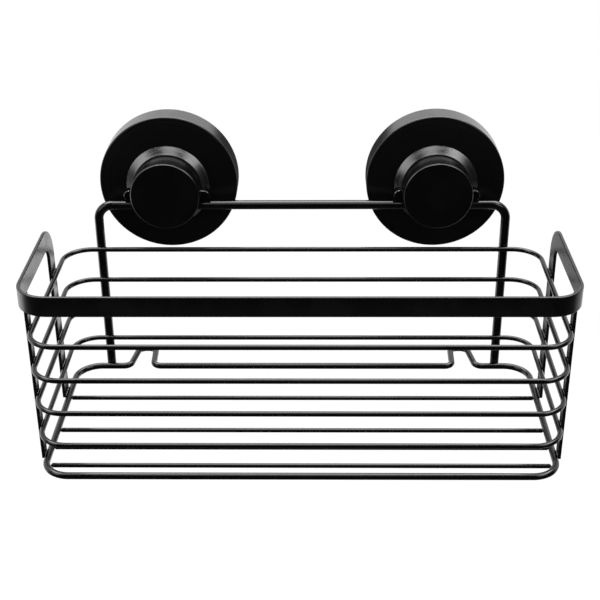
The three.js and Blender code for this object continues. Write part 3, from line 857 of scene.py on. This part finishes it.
class CADDY_OT_hook_plates(bpy.types.Operator):
    """Model the two hook plates, with the hanger's groove and their lugs"""

    bl_idname = "caddy.hook_plates"
    bl_label = "Hook plates"

    def combine(self, piece, tool, operation):
        modify(piece, "BOOLEAN", operation=operation, solver="EXACT", object=tool)
        only(tool)
        bpy.ops.object.delete()

    def bar(self, name, centre, size):
        piece = begin("cube", name, size=1, location=centre, scale=size)
        close_up()
        return piece

    def disc(self, name, radius, back, front, sides, x, z=0.0):
        """A round of the plate: a circle drawn out along the cup's axis."""
        piece = section(name, radius, sides, (x, -back, z), "Y", filled=True)
        extrude((0, back - front, 0))
        close_up()
        return piece

    def execute(self, context):
        s = context.scene.caddy_cup
        spigot_back, front = -PLATE_HIGH.y, -PLATE_LOW.y
        back = spigot_back + SPIGOT_DEPTH
        depth = front - back
        lug_back, lug_front = back + RUN_GAP, front - RUN_GAP
        x, past = LEFT_AXIS, 1 * MM
        span = PLATE_HIGH.x - PLATE_LOW.x - 2 * LUG_RADIUS
        plate = self.disc("plate_left", PLATE_RADIUS, back, front, s.round_sides, x)
        spigot = self.disc("spigot", SPIGOT_RADIUS, spigot_back, back + past, s.round_sides, x)
        self.combine(plate, spigot, "UNION")
        middle_depth = -(lug_back + lug_front) / 2
        self.combine(plate, self.bar("lug_bar", (x, middle_depth, -LUG_DROP),
                                     (span, lug_front - lug_back, 2 * LUG_RADIUS)), "UNION")
        for k in (-1, 1):
            lug = self.disc("lug", LUG_RADIUS, lug_back, lug_front, 32, x + k * span / 2, -LUG_DROP)
            self.combine(plate, lug, "UNION")
        height = 2 * (HANGER_RADIUS + RUN_GAP)
        groove = self.bar("groove", (x, -(back + (depth + past) / 2), -GROOVE_DROP),
                          (2 * (PLATE_RADIUS + past), depth + past, height))
        self.combine(plate, groove, "DIFFERENCE")
        shaft = self.disc("shaft", SHAFT_HOLE, spigot_back - past, front + past, 48, x)
        self.combine(plate, shaft, "DIFFERENCE")
        edit(plate)
        close_up()
        edit(plate)
        pick("EDGE", lambda e: all(abs(v.co.y + lug_front) < MERGE and abs(v.co.x - x) > PLATE_RADIUS - past
                                   for v in e.verts) and e.calc_face_angle(0) > 1)
        bpy.ops.mesh.bevel(offset=s.lug_chamfer, segments=1, affect="EDGES")
        close_up()
        round_edges(plate, 0.2 * MM, 2, 50)
        smooth(plate, math.radians(30))
        marks = [int(-0.9 < polygon.normal.y < -0.4 and abs(polygon.center.x - x) > PLATE_RADIUS
                     and abs(polygon.center.y + lug_front) < s.lug_chamfer)
                 for polygon in plate.data.polygons]
        for name, piece in both_cups(plate, "plate"):
            settle(piece, f"{name}_cup", "black_plastic", ["moulded_black", "polished_edge"],
                   f"{name}_hook_plate")
            piece.data.polygons.foreach_set("material_index", marks)
        return {"FINISHED"}


class CADDY_OT_knobs(bpy.types.Operator):
    """Model the two round knobs with their grip grooves and inner boss"""

    bl_idname = "caddy.knobs"
    bl_label = "Knobs"

    def execute(self, context):
        s = context.scene.caddy_cup
        outer = KNOB_HIGH.x - LEFT_AXIS
        back, front = -KNOB_HIGH.y, -KNOB_LOW.y
        chamfer = s.knob_chamfer
        pocket = INSERT_HIGH.x - LEFT_AXIS + SEAT_GAP
        boss, inside = pocket + KNOB_BOSS_WALL, outer - KNOB_WALL
        floor = front - KNOB_FACE
        boss_back = floor - KNOB_BOSS_DEPTH
        profile = [(outer - chamfer - 1.2 * MM, front), (outer - chamfer, front), (outer, front - chamfer)]
        pitch, groove = 1 * MM, 0.14 * MM
        for k in range(s.knob_grooves):
            start = front - chamfer - (0.7 * MM + k * pitch)
            profile += [(outer, start), (outer - groove, start - 0.18 * MM),
                        (outer - groove, start - 0.32 * MM), (outer, start - 0.5 * MM)]
        profile += [(outer, back + 0.3 * MM), (outer - 0.3 * MM, back), (inside, back), (inside, floor),
                    (boss, floor), (boss, boss_back), (pocket, boss_back), (pocket, floor)]
        left = turned("knob_left", profile, s.round_sides, cap_start=True, cap_end=True)
        smooth(left, math.radians(24))
        chamfer_at = (outer - chamfer / 2, -front + chamfer / 2)
        marks = [int(abs(around(polygon, LEFT_AXIS) - chamfer_at[0]) < 0.2 * MM
                     and abs(polygon.center.y - chamfer_at[1]) < 0.2 * MM) for polygon in left.data.polygons]
        for name, piece in both_cups(left, "knob"):
            settle(piece, f"{name}_knob", "black_plastic", ["knob_satin", "polished_edge"],
                   f"{name}_knob_shell")
            piece.data.polygons.foreach_set("material_index", marks)
        return {"FINISHED"}


class CADDY_OT_pads(bpy.types.Operator):
    """Model the two soft suction pads"""

    bl_idname = "caddy.pads"
    bl_label = "Suction pads"

    def execute(self, context):
        s = context.scene.caddy_cup
        outer = PAD_HIGH.x - LEFT_AXIS
        thick = PAD_THICKNESS
        profile = [(2 * MM, 0.55 * MM), (15 * MM, 0.45 * MM), (27 * MM, 0.12 * MM), (29 * MM, 0.1 * MM)]
        for k in range(s.pad_ridges):
            r = 30 * MM + k * 3 * MM
            profile += [(r, 0.1 * MM), (r + 0.35 * MM, 0), (r + 0.85 * MM, 0), (r + 1.2 * MM, 0.1 * MM)]
        profile += [(outer - 1.2 * MM, 0.05 * MM), (outer - 0.6 * MM, 0), (outer - 0.15 * MM, 0.08 * MM),
                    (outer, 0.3 * MM), (outer - 0.12 * MM, 0.6 * MM), (outer - 0.5 * MM, 0.7 * MM),
                    (37.2 * MM, 0.7 * MM), (36.6 * MM, 1.1 * MM), (36.3 * MM, 1.9 * MM),
                    (35.6 * MM, 2.3 * MM), (34.6 * MM, thick), (18.2 * MM, thick), (17.6 * MM, 2.8 * MM),
                    (PAD_RING_OUTER, 5.1 * MM), (17.2 * MM, PAD_RING_TOP), (15.3 * MM, PAD_RING_TOP),
                    (PAD_RING_INNER, 5.1 * MM), (PAD_RING_INNER, thick), (2 * MM, thick)]
        left = turned("pad_left", profile, s.round_sides, cap_start=True, cap_end=True)
        smooth(left, math.radians(50), weighted=False)
        for name, piece in both_cups(left, "pad"):
            x = LEFT_AXIS if name == "left" else LEFT_AXIS + CUP_SPACING
            piece.data.materials.append(bpy.data.materials["soft_rubber"])
            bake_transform(piece)
            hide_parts(f"{name}_suction_pad")
        return {"FINISHED"}


class CADDY_OT_inner_parts(bpy.types.Operator):
    """Give the carried-over inner pieces their finishes"""

    bl_idname = "caddy.inner_parts"
    bl_label = "Inner parts"

    def execute(self, context):
        finishes = {"pull_stud": "glass_filled_nylon", "support_cup": "moulded_black",
                    "knob_insert": "turned_brass"}
        for side in ("left", "right"):
            for part, finish in finishes.items():
                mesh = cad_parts[f"{side}_{part}"].data
                mesh.materials.clear()
                mesh.materials.append(bpy.data.materials[finish])
        return {"FINISHED"}


class CADDY_OT_stage(bpy.types.Operator):
    """Set up the camera, the floor and the softboxes"""

    bl_idname = "caddy.stage"
    bl_label = "Stage"

    def camera(self, lens):
        """A camera in front, above the basket, looking down at it."""
        data = bpy.data.cameras.new("caddy_camera")
        data.lens = lens
        data.sensor_width = 36
        data.clip_start = 0.01
        camera = bpy.data.objects.new("caddy_camera", data)
        bpy.context.scene.collection.objects.link(camera)
        down, pan, roll = CAMERA_DOWN, CAMERA_PAN, CAMERA_ROLL
        view = Vector((math.sin(pan) * math.cos(down), math.cos(pan) * math.cos(down), -math.sin(down)))
        level = Vector((math.cos(pan), -math.sin(pan), 0))
        top = level.cross(view)
        right = level * math.cos(roll) + top * math.sin(roll)
        head = top * math.cos(roll) - level * math.sin(roll)
        turn = Matrix((right, head, -view)).transposed().to_4x4()
        camera.matrix_world = Matrix.Translation(CAMERA_PLACE) @ turn
        bpy.context.scene.camera = camera

    def softbox(self, name, place, size, brightness):
        """An area lamp that faces the caddy. Brightness is its radiance, where 1 is white."""
        data = bpy.data.lights.new(name, "AREA")
        data.shape = "RECTANGLE"
        data.size, data.size_y = size
        data.energy = brightness * math.pi * size[0] * size[1]
        lamp = bpy.data.objects.new(name, data)
        bpy.context.scene.collection.objects.link(lamp)
        place = Vector(place)
        lamp.matrix_world = Matrix.Translation(place) @ place.to_track_quat("Z", "Y").to_matrix().to_4x4()
        lamp.visible_camera = False

    def floor(self, drop):
        """A pale floor under and behind the caddy, which catches its shadow. In reflections it glows with
        painted light, dark beneath the caddy and brighter far behind it.
        """
        middle_of_floor = (0, 1.6, STRIP_LOW.z - drop)
        floor = begin("plane", "floor", size=1, location=middle_of_floor)
        bpy.ops.transform.resize(value=(7, 5, 1), center_override=middle_of_floor)
        bpy.ops.mesh.subdivide(number_cuts=3)
        close_up()
        material, start = new_material("pale_floor")
        tone = noise(start, object_place(start), 3, 2)
        colour = tone.between(0.3, 0.7).tint((0.84, 0.84, 0.84), (0.88, 0.88, 0.88))
        plain = start.node("ShaderNodeBsdfDiffuse", None, {"Color": colour})
        glow = start.node("ShaderNodeEmission", None, {"Color": (1, 1, 1, 1), "Strength": FLOOR_GLOW})
        both = start.node("ShaderNodeAddShader", None, {0: plain, 1: glow})
        place = object_place(start)
        # Painted reflection: in gloss the floor glows by place. It is dark beneath and in front of the caddy
        # as painted shade, and brighter far behind, most to the left and just right of the middle.
        across, depth = (start.node("ShaderNodeSeparateXYZ", None, {0: place}, k) for k in (0, 1))
        painted_glow_far = depth + across.math("ABSOLUTE") * 0.35
        painted_glow_far = painted_glow_far.between(-1.5, 0.4, 0.03, 0.1) + painted_glow_far.between(0.9, 1.5, 0, 0.9)
        level = across.between(-2.4, -0.6, 1.8, 0.5) + across.between(-0.4, 0.4, 0, 1.15)
        level = level - across.between(0.8, 2.4, 0, 0.95)
        bright = start.node("ShaderNodeEmission", None, {"Color": (1, 1, 1, 1), "Strength": painted_glow_far * level})
        seen, glossy, through = (start.node("ShaderNodeLightPath", output=k) for k in (0, 3, 6))
        mixed = start.node("ShaderNodeMixShader", None, {0: seen, 1: plain, 2: both})
        mirror = (glossy + through).math("MINIMUM", 1)
        mixed = start.node("ShaderNodeMixShader", None, {0: mirror, 1: mixed, 2: bright})
        start.node("ShaderNodeOutputMaterial", None, {"Surface": mixed})
        floor.data.materials.append(material)

    def dark_card(self):
        """A dark card behind the caddy's middle, hidden from the camera and from shadows, put there only to
        darken the reflections in the metal.
        """
        card = begin("plane", "dark_stand", size=1, location=CARD_MIDDLE, rotation=(QUARTER_TURN, 0, 0))
        bpy.ops.transform.resize(value=CARD_SIZE, center_override=CARD_MIDDLE)
        bpy.ops.mesh.subdivide(number_cuts=1)
        close_up()
        material, start = new_material("dark_stand")
        # Dull dark grey, which shows only as dark reflections in the cover's side and other shiny parts.
        dull = start.node("ShaderNodeBsdfDiffuse", None, {"Color": (0.12, 0.12, 0.12, 1)})
        start.node("ShaderNodeOutputMaterial", None, {"Surface": dull})
        card.data.materials.append(material)
        card.visible_camera = False
        card.visible_shadow = False

    def room(self, fill):
        """White to the eye all round. In gloss, white behind, dark in front and a bright ceiling above."""
        world = bpy.data.worlds.new("studio")
        bpy.context.scene.world = world
        world.use_nodes = True
        world.node_tree.nodes.clear()
        start = Signal(world.node_tree)
        seen, glossy, through = (start.node("ShaderNodeLightPath", output=k) for k in (0, 3, 6))
        towards = start.node("ShaderNodeTexCoord", output=0)
        across, depth, height = (start.node("ShaderNodeSeparateXYZ", None, {0: towards}, k) for k in range(3))
        backdrop = (depth - across * 0.12).between(-0.12, 0.34, 0.015, 1.0)
        ceiling = height.between(0.68, 0.78) * depth.between(-0.24, -0.1) * 6
        mirror = (glossy + through).math("MINIMUM", 1)
        strength = mirror * (backdrop + ceiling) + (1 - mirror) * fill
        strength = seen + (1 - seen) * strength
        light = start.node("ShaderNodeBackground", None, {"Color": (1, 1, 1, 1), "Strength": strength})
        start.node("ShaderNodeOutputWorld", None, {"Surface": light})

    def execute(self, context):
        s = context.scene.caddy_stage
        self.camera(s.lens)
        self.floor(s.floor_drop)
        self.dark_card()
        self.room(s.fill)
        for name, (place, size, share) in SOFTBOXES.items():
            self.softbox(name, place, size, s.softbox * share)
        context.scene.view_settings.view_transform = "Standard"
        return {"FINISHED"}


STEPS = (CADDY_OT_finishes, CADDY_OT_rim_strip, CADDY_OT_front_legs, CADDY_OT_ring_wires, CADDY_OT_base_wire,
         CADDY_OT_floor_wires, CADDY_OT_hanger, CADDY_OT_weld_beads, CADDY_OT_covers, CADDY_OT_collars,
         CADDY_OT_hook_plates, CADDY_OT_knobs, CADDY_OT_pads, CADDY_OT_inner_parts, CADDY_OT_stage)
GROUPS = {"caddy_basket": CaddyBasketSettings, "caddy_cup": CaddyCupSettings,
          "caddy_finish": CaddyFinishSettings, "caddy_stage": CaddyStageSettings}


class CADDY_PT_panel(bpy.types.Panel):
    """Lists the caddy's settings and the steps that build it"""

    bl_idname = "CADDY_PT_panel"
    bl_label = "Shower Caddy"
    bl_space_type = "VIEW_3D"
    bl_region_type = "UI"
    bl_category = "Caddy"

    def draw(self, context):
        for name, group in GROUPS.items():
            box = self.layout.box()
            for key in group.__annotations__:
                box.prop(getattr(context.scene, name), key)
        column = self.layout.column(align=True)
        for step in STEPS:
            column.operator(step.bl_idname)


def register():
    for group in (*GROUPS.values(), *STEPS, CADDY_PT_panel):
        bpy.utils.register_class(group)
    for name, group in GROUPS.items():
        setattr(bpy.types.Scene, name, bpy.props.PointerProperty(type=group))


def unregister():
    for name in GROUPS:
        delattr(bpy.types.Scene, name)
    for group in reversed((*GROUPS.values(), *STEPS, CADDY_PT_panel)):
        bpy.utils.unregister_class(group)


def main():
    register()
    for step in STEPS:
        getattr(bpy.ops.caddy, step.bl_idname.split(".")[1])()


if __name__ == "__main__":
    main()
